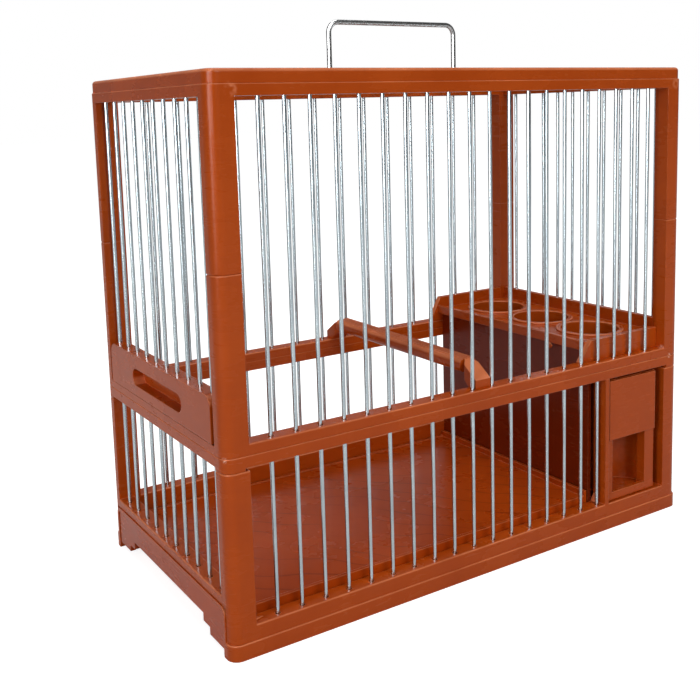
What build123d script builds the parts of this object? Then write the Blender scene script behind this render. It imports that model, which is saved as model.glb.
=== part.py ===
from build123d import *
import os

# Bird cage of stacked moulded frames and steel wires, in millimetres.
# +X runs along the length from the door end to the feeder end, the front face looks along -Y,
# +Z is up, and the origin is the centre of the footprint on the surface it stands on.

# Overall size of the body, without the handle
LENGTH = 209.55
WIDTH = 107.95
HEIGHT = 184.15

# Mouldings that are common to the frames
FACE_INSET = 0.4
CORNER_R = 4.0
RAIL_T = 6.4
POST_X = 8.8
EDGE_R = 0.5
SEAM_R = 0.35

# Levels of the stacked frames
SKIRT_TOP = 5.4
BOTTOM_RAIL_H = 5.1
SILL_BOTTOM = 16.9
SILL_H = 3.1
MID_BOTTOM = 62.4
MID_LIP = 1.2
STUB_INSET = 1.5
MID_RING_H = 3.7
MID_RAIL_H = 3.7
DOOR_RAIL_DROP = 0.8
POST_SEAM = 123.0
TOP_RAIL_H = 3.7
ROOF_H = 4.45

# Wires
WIRE_R = 0.7
WIRE_FIT = 0.05
WIRE_INSET = 3.0
WIRE_SEAT = 3.0
EYE_R = 0.95
EYE_DEPTH = 0.4
FRONT_PITCH = 9.12
BACK_PITCH = 12.7
SIDE_PITCH = 9.4
ROOF_WIRE_SEAT = 3.2

# Pegs that hold one frame on the next
PEG_R = 1.5
PEG_FIT = 0.05
PEG_FROM_FACE = 2.5
PEG_LENGTH = 6.0
PEG_END_GAP = 0.4

# Base
LEDGE_H = 2.1
LEDGE_W = 3.4
TIE_W = 6.0
LEFT_TIE_FROM_FACE = 9.0
SLOT_PAST_RAIL = 1.0
BEAD_W = 1.4
BEAD_DEPTH = 3.6
BEAD_R = 3.2
BEAD_FIT = 0.1

# Side door
DOOR_GAP = 0.3
DOOR_H = 15.2
DOOR_T = 5.4
DOOR_PROUD = 0.2
DOOR_END_GAP = 1.7
DOOR_CORNER_R = 4.0
GRIP_HALF_Y = 22.6
GRIP_BOTTOM = 3.7
GRIP_H = 6.5
GRIP_DEPTH = 4.3
TONGUE_T = 2.0
TONGUE_REACH = 1.4
TONGUE_FIT = 0.3
DOOR_WIRE_RUN_FIT = 0.09
DOOR_WIRE_SEAT = 3.6

# Tray
TRAY_FLOAT = 0.3
TRAY_SIDE_GAP = 0.45
TRAY_WALL = 1.4
TRAY_TOP = 13.3
TRAY_RIM_H = 0.5
TRAY_FLOOR_T = 1.4
TRAY_SKIN_T = 2.2
TRAY_SKIN_INSET = 0.3
TRAY_SKIN_GAP = 0.4
TRAY_GRIP_DEPTH = 4.4
TRAY_GRIP_HALF_Y = 37.0
TRAY_GRIP_STEP = 5.0
TRAY_GRIP_TOP = 7.8
TRAY_GRIP_STEP_TOP = 5.0
TRAY_END_GAP = 0.5

# Handle
HANDLE_WIRE_R = 0.95
HANDLE_LEG_X = 29.5
HANDLE_RISE = 19.35
HANDLE_CORNER_R = 4.0
HANDLE_FIT = 0.08
HOOK_R = 2.0
HOOK_TAIL = 3.4
HOOK_GAP = 0.3
CROSSBAR_W = 6.0
CROSSBAR_H = 2.6
ROOF_CORNER_R = 9.0
ROOF_INSET = 0.3
ROOF_EDGE_R = 1.3

# Perch
PERCH_W = 7.6
PERCH_T = 5.4
PERCH_ABOVE_RAIL = 9.7
PERCH_EDGE_R = 2.2
PERCH_END_GAP = 4.2
FLUTE_R = 0.55
FLUTE_COUNT = 5
FLUTE_PITCH = 1.35
FOOT_W = 6.8
FOOT_END_H = 3.2
FOOT_FROM_FACE = 2.0
FOOT_BEVEL = 2.0

# Feeder shelf, housing, drawer and shutter
FEEDER_POST_IN = 43.3
FEEDER_POST_T = 2.0
FEEDER_POST_FOOT = 1.6
SHELF_IN = 48.8
SHELF_T = 1.6
SHELF_ABOVE_RAIL = 6.0
LIP_T = 1.6
LIP_RISE = 1.4
LIP_H = 3.7
RIM_T = 2.2
FRONT_RIM_RISE = 8.2
BACK_RIM_RISE = 11.2
RAMP_RUN = 6.1
CUP_R = 12.0
CUP_WALL = 1.2
CUP_GAP = 2.45
CUP_COUNT = 3
CUP_IN = 27.0
COLLAR_H = 1.1
COLLAR_W = 2.0
CHUTE_GAP = 0.7
SHELF_FIT = 0.2
HOUSING_IN = 46.3
HOUSING_T = 1.6
HOUSING_GAP = 0.3
HOUSING_FLOOR_T = 1.3
GUIDE_H = 3.5
GUIDE_T = 1.4
DRAWER_GUIDE_GAP = 0.4
DRAWER_FLOAT = 0.3
DRAWER_TOP_GAP = 1.35
DRAWER_BASE_T = 1.6
DRAWER_FACE_IN = 40.8
DRAWER_FACE_W = 27.4
DRAWER_FACE_T = 1.8
DRAWER_BODY_W = 26.4
WINDOW_FROM_STILE = 3.0
WINDOW_W = 19.0
WINDOW_ABOVE_FLOOR = 3.5
WINDOW_H = 22.5
NICHE_R = 11.0
NICHE_FROM_FACE = 2.8
NICHE_ROOF_DROP = 17.9
JAMB_DEPTH = 2.2
JAMB_T = 1.2
SHUTTER_T = 1.2
SHUTTER_INSET = 0.1
SHUTTER_W = 26.5
SHUTTER_LAP = 0.2
SHUTTER_TRAVEL = 22.0
SHUTTER_FIT = 0.12
KEY_NECK_W = 1.8
KEY_HEAD_W = 4.0
KEY_H = 1.4
KEY_HEAD_T = 1.1
KEY_FROM_TOP = 0.3
KEY_HALF_SPAN = 7.0

# Worked out from the sizes above
HALF_X = LENGTH / 2
HALF_Y = WIDTH / 2
FACE_X = HALF_X - FACE_INSET
FACE_Y = HALF_Y - FACE_INSET
IN_X = FACE_X - RAIL_T
IN_Y = FACE_Y - RAIL_T
POST_IN_X = FACE_X - POST_X
BOTTOM_RAIL_TOP = SKIRT_TOP + BOTTOM_RAIL_H
SILL_TOP = SILL_BOTTOM + SILL_H
LOWER_POST_TOP = MID_BOTTOM - MID_LIP
MID_CREASE = MID_BOTTOM + MID_RING_H
MID_TOP = MID_CREASE + MID_RAIL_H
DOOR_RAIL_TOP = MID_TOP - DOOR_RAIL_DROP
ROOF_SEAM = HEIGHT - ROOF_H
TOP_RAIL_BOTTOM = ROOF_SEAM - TOP_RAIL_H
PEG_X = FACE_X - POST_X / 2
PEG_Y = FACE_Y - PEG_FROM_FACE
WIRE_X = HALF_X - WIRE_INSET
WIRE_Y = HALF_Y - WIRE_INSET
SLOT_HALF_Y = IN_Y + SLOT_PAST_RAIL
DOOR_BOTTOM = DOOR_RAIL_TOP + DOOR_GAP
DOOR_TOP = DOOR_BOTTOM + DOOR_H
DOOR_OUT_X = FACE_X + DOOR_PROUD
DOOR_IN_X = DOOR_OUT_X - DOOR_T
DOOR_HALF_Y = IN_Y - DOOR_END_GAP
DOOR_WIRE_X = DOOR_OUT_X - DOOR_T / 2
TONGUE_X = DOOR_IN_X + TONGUE_T / 2 + TONGUE_FIT
HANDLE_TOP = HEIGHT + HANDLE_RISE
PERCH_TOP = MID_TOP + PERCH_ABOVE_RAIL
PERCH_HALF_Y = IN_Y - PERCH_END_GAP
FEEDER_POST_X = HALF_X - FEEDER_POST_IN
SHELF_X = HALF_X - SHELF_IN
HOUSING_X = HALF_X - HOUSING_IN
SHELF_TOP = MID_TOP + SHELF_ABOVE_RAIL
LIP_TOP = SHELF_TOP + LIP_RISE
FRONT_RIM_TOP = MID_TOP + FRONT_RIM_RISE
BACK_RIM_TOP = MID_TOP + BACK_RIM_RISE
TRAY_BOTTOM = LEDGE_H + TRAY_FLOAT
TRAY_HALF_Y = IN_Y - TRAY_SIDE_GAP
TRAY_END_X = HOUSING_X - TRAY_END_GAP
TRAY_SKIN_X = HALF_X - TRAY_SKIN_INSET
TRAY_SKIN_TOP = SILL_BOTTOM - BEAD_W - TRAY_SKIN_INSET
TRAY_WALL_X = TRAY_SKIN_X - TRAY_SKIN_T - TRAY_GRIP_DEPTH
HOUSING_END_X = IN_X - HOUSING_GAP
HOUSING_HALF_Y = IN_Y - HOUSING_GAP
HOUSING_TOP = SHELF_TOP - SHELF_T
HOUSING_FLOOR_TOP = BOTTOM_RAIL_TOP
DRAWER_BOTTOM = HOUSING_FLOOR_TOP + DRAWER_FLOAT
DRAWER_TOP = MID_BOTTOM - DRAWER_TOP_GAP
CHUTE_BOTTOM = DRAWER_TOP + CHUTE_GAP
DRAWER_FACE_X = HALF_X - DRAWER_FACE_IN
WINDOW_X = DRAWER_FACE_X + WINDOW_FROM_STILE
WINDOW_BOTTOM = HOUSING_FLOOR_TOP + WINDOW_ABOVE_FLOOR
SHUTTER_BOTTOM = WINDOW_BOTTOM + WINDOW_H + SHUTTER_LAP
NICHE_TOP = DRAWER_TOP - NICHE_ROOF_DROP
DRAWER_FACE_Y = FACE_Y - SHUTTER_INSET - SHUTTER_T - SHUTTER_FIT
DRAWER_BODY_Y = DRAWER_FACE_Y - DRAWER_FACE_T
DRAWER_CENTER_X = DRAWER_FACE_X + DRAWER_FACE_W / 2
NICHE_Y = DRAWER_BODY_Y - NICHE_FROM_FACE
CUP_PITCH = 2 * IN_Y / CUP_COUNT - CUP_GAP
CUP_X = HALF_X - CUP_IN
LEG_ENDS = (-1, 1)


def row_places(count, pitch):
    """Centres of a row of wires, even about zero."""
    return [pitch * (k - (count - 1) / 2) for k in range(count)]


FRONT_XS = row_places(int(2 * POST_IN_X // FRONT_PITCH), FRONT_PITCH)
BACK_XS = row_places(int((2 * POST_IN_X - BACK_PITCH) // BACK_PITCH), BACK_PITCH)
SIDE_YS = row_places(int(2 * IN_Y // SIDE_PITCH), SIDE_PITCH)
CUP_YS = row_places(CUP_COUNT, CUP_PITCH)
LOWER_FRONT_XS = [x for x in FRONT_XS if x + WIRE_R < FEEDER_POST_X]
LOWER_BACK_XS = [x for x in BACK_XS if x + EYE_R < HOUSING_X]
FRONT_UPPER = [(x, -WIRE_Y) for x in FRONT_XS]
FRONT_LOWER = [(x, -WIRE_Y) for x in LOWER_FRONT_XS]
BACK_UPPER = [(x, WIRE_Y) for x in BACK_XS]
BACK_LOWER = [(x, WIRE_Y) for x in LOWER_BACK_XS]
RIGHT_UPPER = [(WIRE_X, y) for y in SIDE_YS]
LEFT_LOWER = [(-WIRE_X, y) for y in SIDE_YS]
DOOR_WIRES = [(-DOOR_WIRE_X, y) for y in SIDE_YS]
PEGS = [(sx * PEG_X, sy * PEG_Y) for sx in LEG_ENDS for sy in LEG_ENDS]


def box_on(x0, x1, y0, y1, z0):
    """Rectangle from corner to corner on the level z0."""
    with BuildSketch(Plane.XY.offset(z0)) as profile:
        with Locations(((x0 + x1) / 2, (y0 + y1) / 2)):
            Rectangle(x1 - x0, y1 - y0)
    return profile.sketch


def dots_on(places, radius, z0):
    """One circle at each place on the level z0."""
    with BuildSketch(Plane.XY.offset(z0)) as profile:
        with Locations(*places):
            Circle(radius)
    return profile.sketch


def ring_on(z0, inset=0.0):
    """Frame outline with its rounded outer corners and its square inside."""
    with BuildSketch(Plane.XY.offset(z0)) as profile:
        RectangleRounded(2 * (FACE_X - inset), 2 * (FACE_Y - inset), CORNER_R)
        Rectangle(2 * IN_X, 2 * IN_Y, mode=Mode.SUBTRACT)
    return profile.sketch


def posts_on(z0, narrowed=0.0):
    """The four corner posts of a frame, or posts that are narrowed along the length."""
    with BuildSketch(Plane.XY.offset(z0)) as profile:
        RectangleRounded(2 * FACE_X, 2 * FACE_Y, CORNER_R)
        Rectangle(2 * (POST_IN_X + narrowed), 2 * FACE_Y, mode=Mode.SUBTRACT)
        Rectangle(2 * FACE_X, 2 * IN_Y, mode=Mode.SUBTRACT)
    return profile.sketch


def grooves_on(z0):
    """Grooves in the two door-side posts for the door's tongues."""
    half_t = TONGUE_T / 2 + TONGUE_FIT
    reach = TONGUE_REACH + DOOR_END_GAP + TONGUE_FIT
    with BuildSketch(Plane.XY.offset(z0)) as profile:
        with Locations((-TONGUE_X, 0)):
            Rectangle(2 * half_t, 2 * (DOOR_HALF_Y + reach))
    return profile.sketch


def sink_wires(places, level, depth):
    """Cut seats for wires, each with a wider eye where the wire comes out."""
    extrude(dots_on(places, WIRE_R + WIRE_FIT, level), amount=depth, mode=Mode.SUBTRACT)
    eye = EYE_DEPTH if depth > 0 else -EYE_DEPTH
    extrude(dots_on(places, EYE_R, level), amount=eye, mode=Mode.SUBTRACT)


def hang_pegs(level):
    """Pegs under a frame's posts, down into the posts of the frame below."""
    extrude(dots_on(PEGS, PEG_R, level), amount=-PEG_LENGTH)


def sink_pegs(level, down=True):
    """Sockets for pegs, with a little air past the peg's end."""
    depth = PEG_LENGTH + PEG_END_GAP
    extrude(dots_on(PEGS, PEG_R + PEG_FIT, level), amount=-depth if down else depth, mode=Mode.SUBTRACT)


def long_edges(part, level, axis, least):
    """Edges that lie on a level, run along an axis and are longer than least."""
    on_level = [e for e in part.edges().filter_by(axis) if abs(e.center().Z - level) < 0.01]
    return [e for e in on_level if e.length > least]


def outer_edges(part, level):
    """Edges on a level that lie on a frame's outside faces and its rounded corners."""
    on_level = [e for e in part.edges() if all(abs(v.Z - level) < 0.01 for v in e.vertices())]
    open_ones = [e for e in on_level if not e.is_closed]
    near_x = FACE_X - CORNER_R / 2
    near_y = FACE_Y - CORNER_R / 2
    return [e for e in open_ones if abs(e.center().X) > near_x or abs(e.center().Y) > near_y]


os.makedirs("parts", exist_ok=True)


# Base frame: skirt, runner ledges, ties and the bead round the tray slot
with BuildPart() as base_frame:
    with BuildSketch(Plane.XY) as skirt:
        RectangleRounded(LENGTH, WIDTH, CORNER_R)
        Rectangle(2 * IN_X, 2 * IN_Y, mode=Mode.SUBTRACT)
        with Locations((-HALF_X, 0)):
            Rectangle(2 * RAIL_T + 2 * FACE_INSET, 2 * SLOT_HALF_Y, mode=Mode.SUBTRACT)
    extrude(amount=SKIRT_TOP)
    with BuildSketch(Plane.XY) as ledges:
        for side in LEG_ENDS:
            with Locations((0, side * (IN_Y + SLOT_HALF_Y - LEDGE_W) / 2)):
                Rectangle(2 * (HALF_X - CORNER_R), SLOT_HALF_Y - IN_Y + LEDGE_W)
        with Locations((IN_X - LEDGE_W / 2, 0), (HOUSING_X - TIE_W / 4, 0)):
            Rectangle(TIE_W, 2 * IN_Y)
        with Locations((-HALF_X + LEFT_TIE_FROM_FACE + TIE_W / 2, 0)):
            Rectangle(TIE_W, 2 * IN_Y)
    extrude(amount=LEDGE_H)
    with BuildSketch(Plane.YZ.offset(-HALF_X)) as bead:
        bead_half_y = SLOT_HALF_Y + BEAD_W
        with Locations((0, SILL_BOTTOM / 2)):
            RectangleRounded(2 * bead_half_y, SILL_BOTTOM, BEAD_R)
        with Locations((0, (SILL_BOTTOM - BEAD_W) / 2)):
            RectangleRounded(2 * SLOT_HALF_Y, SILL_BOTTOM - BEAD_W, BEAD_R - BEAD_W, mode=Mode.SUBTRACT)
        with Locations((0, BEAD_R / 2)):
            Rectangle(2 * SLOT_HALF_Y, BEAD_R, mode=Mode.SUBTRACT)
        with Locations((0, SKIRT_TOP / 2)):
            Rectangle(2 * bead_half_y, SKIRT_TOP, mode=Mode.SUBTRACT)
    extrude(amount=BEAD_DEPTH)
    extrude(dots_on(PEGS, PEG_R, SKIRT_TOP), amount=PEG_LENGTH)
    fillet(long_edges(base_frame, SKIRT_TOP, Axis.X, FRONT_PITCH * 2), EDGE_R)
base_frame.part.label = "base_frame"
export_step(base_frame.part, "parts/base_frame.step")


# Lower frame: bottom rails, lower posts, the sill over the tray slot and the feeder post
with BuildPart() as lower_frame:
    extrude(ring_on(SKIRT_TOP), amount=BOTTOM_RAIL_H)
    open_end = box_on(-FACE_X, -IN_X, -IN_Y, IN_Y, SKIRT_TOP)
    extrude(open_end, amount=BOTTOM_RAIL_H, mode=Mode.SUBTRACT)
    extrude(posts_on(SKIRT_TOP), amount=LOWER_POST_TOP - SKIRT_TOP)
    extrude(box_on(-FACE_X, -IN_X, -IN_Y, IN_Y, SILL_BOTTOM), amount=SILL_H)
    back_rail = box_on(-POST_IN_X, POST_IN_X, IN_Y, FACE_Y, BOTTOM_RAIL_TOP)
    extrude(back_rail, amount=SILL_TOP - BOTTOM_RAIL_TOP)
    post_end = FEEDER_POST_X + FEEDER_POST_T
    feeder_post = box_on(FEEDER_POST_X, post_end, -FACE_Y, -IN_Y, BOTTOM_RAIL_TOP)
    extrude(feeder_post, amount=MID_BOTTOM - BOTTOM_RAIL_TOP)
    with BuildSketch(Plane.XZ.offset(IN_Y)) as foot:
        with BuildLine():
            toe = (FEEDER_POST_X - FEEDER_POST_FOOT, BOTTOM_RAIL_TOP)
            heel = (FEEDER_POST_X, BOTTOM_RAIL_TOP)
            Polyline(toe, heel, (FEEDER_POST_X, BOTTOM_RAIL_TOP + 2 * FEEDER_POST_FOOT), close=True)
        make_face()
    extrude(amount=RAIL_T / 3)
    with BuildSketch(Plane.YZ.offset(-HALF_X)) as bead_room:
        with Locations((0, (SKIRT_TOP + SILL_BOTTOM + BEAD_FIT) / 2)):
            Rectangle(2 * (SLOT_HALF_Y + BEAD_W + BEAD_FIT), SILL_BOTTOM + BEAD_FIT - SKIRT_TOP)
    extrude(amount=BEAD_DEPTH + BEAD_FIT, mode=Mode.SUBTRACT)
    sink_wires(FRONT_LOWER, BOTTOM_RAIL_TOP, -WIRE_SEAT)
    sink_wires(BACK_LOWER + LEFT_LOWER, SILL_TOP, -WIRE_SEAT + EDGE_R)
    sink_pegs(LOWER_POST_TOP)
    sink_pegs(SKIRT_TOP, down=False)
    fillet(long_edges(lower_frame, BOTTOM_RAIL_TOP, Axis.X, FRONT_PITCH * 2), EDGE_R)
    fillet(long_edges(lower_frame, SILL_TOP, Axis.X, FRONT_PITCH * 2), EDGE_R)
    fillet(long_edges(lower_frame, SILL_TOP, Axis.Y, SIDE_PITCH * 2), EDGE_R)
    fillet(outer_edges(lower_frame, LOWER_POST_TOP), EDGE_R)
lower_frame.part.label = "lower_frame"
export_step(lower_frame.part, "parts/lower_frame.step")


# Lower half of the waist, which takes the tops of the lower wires
with BuildPart() as middle_ring:
    extrude(posts_on(LOWER_POST_TOP, STUB_INSET), amount=MID_BOTTOM - LOWER_POST_TOP)
    extrude(ring_on(MID_BOTTOM), amount=MID_RING_H)
    sink_wires(FRONT_LOWER + BACK_LOWER + LEFT_LOWER, MID_BOTTOM, WIRE_SEAT)
    peg_holes = dots_on(PEGS, PEG_R + PEG_FIT, LOWER_POST_TOP)
    extrude(peg_holes, amount=MID_CREASE - LOWER_POST_TOP, mode=Mode.SUBTRACT)
    fillet(outer_edges(middle_ring, MID_CREASE), SEAM_R)
    fillet(outer_edges(middle_ring, LOWER_POST_TOP), EDGE_R)
middle_ring.part.label = "middle_ring"
export_step(middle_ring.part, "parts/middle_ring.step")


# Upper half of the waist, with the lower half of the upper posts
with BuildPart() as middle_frame:
    extrude(ring_on(MID_CREASE), amount=MID_RAIL_H)
    door_rail = box_on(-FACE_X, -IN_X, -IN_Y, IN_Y, DOOR_RAIL_TOP)
    extrude(door_rail, amount=DOOR_RAIL_DROP, mode=Mode.SUBTRACT)
    extrude(posts_on(MID_CREASE), amount=POST_SEAM - MID_CREASE)
    extrude(grooves_on(DOOR_RAIL_TOP), amount=POST_SEAM - DOOR_RAIL_TOP, mode=Mode.SUBTRACT)
    sink_wires(FRONT_UPPER + BACK_UPPER + RIGHT_UPPER, MID_TOP, -WIRE_SEAT)
    extrude(dots_on(PEGS, PEG_R, MID_CREASE), amount=-(MID_CREASE - LOWER_POST_TOP + PEG_LENGTH))
    sink_pegs(POST_SEAM)
    fillet(long_edges(middle_frame, MID_TOP, Axis.X, FRONT_PITCH * 2), EDGE_R)
    fillet(outer_edges(middle_frame, MID_CREASE), SEAM_R)
    fillet(outer_edges(middle_frame, POST_SEAM), EDGE_R)
middle_frame.part.label = "middle_frame"
export_step(middle_frame.part, "parts/middle_frame.step")


# Upper frame: the upper half of the posts and the lower half of the top rails
with BuildPart() as upper_frame:
    extrude(posts_on(POST_SEAM), amount=ROOF_SEAM - POST_SEAM)
    extrude(grooves_on(POST_SEAM), amount=TOP_RAIL_BOTTOM - POST_SEAM, mode=Mode.SUBTRACT)
    extrude(ring_on(TOP_RAIL_BOTTOM), amount=TOP_RAIL_H)
    sink_wires(FRONT_UPPER + BACK_UPPER + RIGHT_UPPER, TOP_RAIL_BOTTOM, WIRE_SEAT)
    wire_runs = dots_on(DOOR_WIRES, WIRE_R + DOOR_WIRE_RUN_FIT, TOP_RAIL_BOTTOM)
    extrude(wire_runs, amount=TOP_RAIL_H, mode=Mode.SUBTRACT)
    hang_pegs(POST_SEAM)
    sink_pegs(ROOF_SEAM)
    fillet(outer_edges(upper_frame, ROOF_SEAM), SEAM_R)
    fillet(outer_edges(upper_frame, POST_SEAM), EDGE_R)
upper_frame.part.label = "upper_frame"
export_step(upper_frame.part, "parts/upper_frame.step")


# Roof frame: the open ring of the roof and the crossbar that carries the handle
with BuildPart() as roof_frame:
    with BuildSketch(Plane.XY.offset(ROOF_SEAM)) as roof_ring:
        RectangleRounded(2 * (FACE_X - ROOF_INSET), 2 * (FACE_Y - ROOF_INSET), CORNER_R)
        RectangleRounded(2 * IN_X, 2 * IN_Y, ROOF_CORNER_R, mode=Mode.SUBTRACT)
    extrude(amount=ROOF_H)
    roof_top = roof_frame.faces().sort_by(Axis.Z)[-1]
    fillet(roof_top.outer_wire().edges(), ROOF_EDGE_R)
    crossbar = box_on(-IN_X - EDGE_R, IN_X + EDGE_R, -CROSSBAR_W / 2, CROSSBAR_W / 2, HEIGHT)
    extrude(crossbar, amount=-CROSSBAR_H)
    legs = [(side * HANDLE_LEG_X, 0) for side in LEG_ENDS]
    extrude(dots_on(legs, HANDLE_WIRE_R + HANDLE_FIT, HEIGHT), amount=-CROSSBAR_H, mode=Mode.SUBTRACT)
    with BuildSketch(Plane.XZ) as wire_slots:
        with Locations(*[(x, ROOF_SEAM + WIRE_R) for x in FRONT_XS]):
            Circle(WIRE_R + WIRE_FIT)
        with Locations(*[(x, ROOF_SEAM + WIRE_R / 2) for x in FRONT_XS]):
            Rectangle(2 * (WIRE_R + WIRE_FIT), WIRE_R)
    extrude(amount=IN_Y + ROOF_WIRE_SEAT, both=True, mode=Mode.SUBTRACT)
    roof_runs = dots_on(DOOR_WIRES, WIRE_R + DOOR_WIRE_RUN_FIT, ROOF_SEAM)
    extrude(roof_runs, amount=ROOF_H, mode=Mode.SUBTRACT)
    hang_pegs(ROOF_SEAM)
roof_frame.part.label = "roof_frame"
export_step(roof_frame.part, "parts/roof_frame.step")


# Standing wires, one node for each side and storey
UPPER_LOW = MID_TOP - WIRE_SEAT
UPPER_HIGH = TOP_RAIL_BOTTOM + WIRE_SEAT
LOWER_LOW = BOTTOM_RAIL_TOP - WIRE_SEAT
SILL_LOW = SILL_TOP - WIRE_SEAT + EDGE_R
LOWER_HIGH = MID_BOTTOM + WIRE_SEAT

with BuildPart() as front_wires_upper:
    extrude(dots_on(FRONT_UPPER, WIRE_R, UPPER_LOW), amount=UPPER_HIGH - UPPER_LOW)
front_wires_upper.part.label = "front_wires_upper"
export_step(front_wires_upper.part, "parts/front_wires_upper.step")

with BuildPart() as back_wires_upper:
    extrude(dots_on(BACK_UPPER, WIRE_R, UPPER_LOW), amount=UPPER_HIGH - UPPER_LOW)
back_wires_upper.part.label = "back_wires_upper"
export_step(back_wires_upper.part, "parts/back_wires_upper.step")

with BuildPart() as right_wires_upper:
    extrude(dots_on(RIGHT_UPPER, WIRE_R, UPPER_LOW), amount=UPPER_HIGH - UPPER_LOW)
right_wires_upper.part.label = "right_wires_upper"
export_step(right_wires_upper.part, "parts/right_wires_upper.step")

with BuildPart() as front_wires_lower:
    extrude(dots_on(FRONT_LOWER, WIRE_R, LOWER_LOW), amount=LOWER_HIGH - LOWER_LOW)
front_wires_lower.part.label = "front_wires_lower"
export_step(front_wires_lower.part, "parts/front_wires_lower.step")

with BuildPart() as back_wires_lower:
    extrude(dots_on(BACK_LOWER, WIRE_R, SILL_LOW), amount=LOWER_HIGH - SILL_LOW)
back_wires_lower.part.label = "back_wires_lower"
export_step(back_wires_lower.part, "parts/back_wires_lower.step")

with BuildPart() as left_wires_lower:
    extrude(dots_on(LEFT_LOWER, WIRE_R, SILL_LOW), amount=LOWER_HIGH - SILL_LOW)
left_wires_lower.part.label = "left_wires_lower"
export_step(left_wires_lower.part, "parts/left_wires_lower.step")

# Roof wires lie across the depth on the upper frame, in slots under the roof frame
with BuildPart() as roof_wires:
    with BuildSketch(Plane.XZ) as roof_wire_ends:
        with Locations(*[(x, ROOF_SEAM + WIRE_R) for x in FRONT_XS]):
            Circle(WIRE_R)
    extrude(amount=IN_Y + ROOF_WIRE_SEAT - WIRE_FIT, both=True)
roof_wires.part.label = "roof_wires"
export_step(roof_wires.part, "parts/roof_wires.step")


# Side door: a grip bar with ten wires, which slides up in the posts' grooves
with BuildPart() as side_door_bar:
    with BuildSketch(Plane.YZ.offset(-DOOR_OUT_X)) as door_face:
        with Locations((0, DOOR_BOTTOM + DOOR_H / 2)):
            Rectangle(2 * DOOR_HALF_Y, DOOR_H)
        fillet(door_face.vertices().group_by(Axis.Y)[-1], DOOR_CORNER_R)
    extrude(amount=DOOR_T)
    tongue_y = DOOR_HALF_Y + DOOR_END_GAP + TONGUE_REACH
    tongues = box_on(-TONGUE_X - TONGUE_T / 2, -TONGUE_X + TONGUE_T / 2, -tongue_y, tongue_y, DOOR_BOTTOM)
    extrude(tongues, amount=DOOR_H - DOOR_CORNER_R)
    with BuildSketch(Plane.YZ.offset(-DOOR_OUT_X)) as grip:
        with Locations((0, DOOR_BOTTOM + GRIP_BOTTOM + GRIP_H / 2)):
            SlotOverall(2 * GRIP_HALF_Y, GRIP_H)
    extrude(amount=GRIP_DEPTH, mode=Mode.SUBTRACT)
    extrude(dots_on(DOOR_WIRES, WIRE_R + WIRE_FIT, DOOR_TOP), amount=-DOOR_WIRE_SEAT, mode=Mode.SUBTRACT)
side_door_bar.part.label = "side_door_bar"
export_step(side_door_bar.part, "parts/side_door_bar.step")

with BuildPart() as side_door_wires:
    wire_foot = DOOR_TOP - DOOR_WIRE_SEAT
    extrude(dots_on(DOOR_WIRES, WIRE_R, wire_foot), amount=HEIGHT - DOOR_GAP - wire_foot)
side_door_wires.part.label = "side_door_wires"
export_step(side_door_wires.part, "parts/side_door_wires.step")


# Litter tray: a raised floor on skirts, drawn out by the finger hollow in its front
with BuildPart() as tray:
    hollow_y = TRAY_HALF_Y - TRAY_WALL
    hollow_x0 = -TRAY_WALL_X + TRAY_WALL
    hollow_x1 = TRAY_END_X - TRAY_WALL
    tray_floor_top = TRAY_TOP - TRAY_RIM_H
    tray_block = box_on(hollow_x0, TRAY_END_X, -TRAY_HALF_Y, TRAY_HALF_Y, TRAY_BOTTOM)
    extrude(tray_block, amount=TRAY_TOP - TRAY_BOTTOM)
    for end_x0, end_x1 in ((-TRAY_SKIN_X, hollow_x0), (hollow_x1, TRAY_END_X)):
        end_block = box_on(end_x0, end_x1, -TRAY_HALF_Y, TRAY_HALF_Y, TRAY_BOTTOM)
        extrude(end_block, amount=TRAY_SKIN_TOP - TRAY_BOTTOM)
    tray_floor = box_on(hollow_x0, hollow_x1, -hollow_y, hollow_y, tray_floor_top)
    extrude(tray_floor, amount=TRAY_RIM_H, mode=Mode.SUBTRACT)
    underside = box_on(hollow_x0, hollow_x1, -hollow_y, hollow_y, TRAY_BOTTOM)
    extrude(underside, amount=tray_floor_top - TRAY_FLOOR_T - TRAY_BOTTOM, mode=Mode.SUBTRACT)
    skin_y = SLOT_HALF_Y - TRAY_SKIN_GAP
    with BuildSketch(Plane.YZ.offset(-TRAY_SKIN_X)) as skin:
        with Locations((0, (TRAY_BOTTOM + TRAY_SKIN_TOP) / 2)):
            Rectangle(2 * skin_y, TRAY_SKIN_TOP - TRAY_BOTTOM)
        fillet(skin.vertices().group_by(Axis.Y)[-1], BEAD_R - BEAD_W)
    extrude(amount=TRAY_SKIN_T)
    extrude(box_on(-TRAY_SKIN_X + TRAY_SKIN_T, -TRAY_WALL_X, -hollow_y, hollow_y, TRAY_BOTTOM),
            amount=TRAY_SKIN_TOP - TRAY_SKIN_T - TRAY_BOTTOM, mode=Mode.SUBTRACT)
    with BuildSketch(Plane.YZ.offset(-TRAY_SKIN_X)) as finger_cut:
        with Locations((0, (TRAY_BOTTOM + TRAY_GRIP_STEP_TOP) / 2)):
            Rectangle(2 * TRAY_GRIP_HALF_Y, TRAY_GRIP_STEP_TOP - TRAY_BOTTOM)
        with Locations((0, (TRAY_BOTTOM + TRAY_GRIP_TOP) / 2)):
            Rectangle(2 * (TRAY_GRIP_HALF_Y - TRAY_GRIP_STEP), TRAY_GRIP_TOP - TRAY_BOTTOM)
    extrude(amount=TRAY_SKIN_T, mode=Mode.SUBTRACT)
tray.part.label = "tray"
export_step(tray.part, "parts/tray.step")


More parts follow.
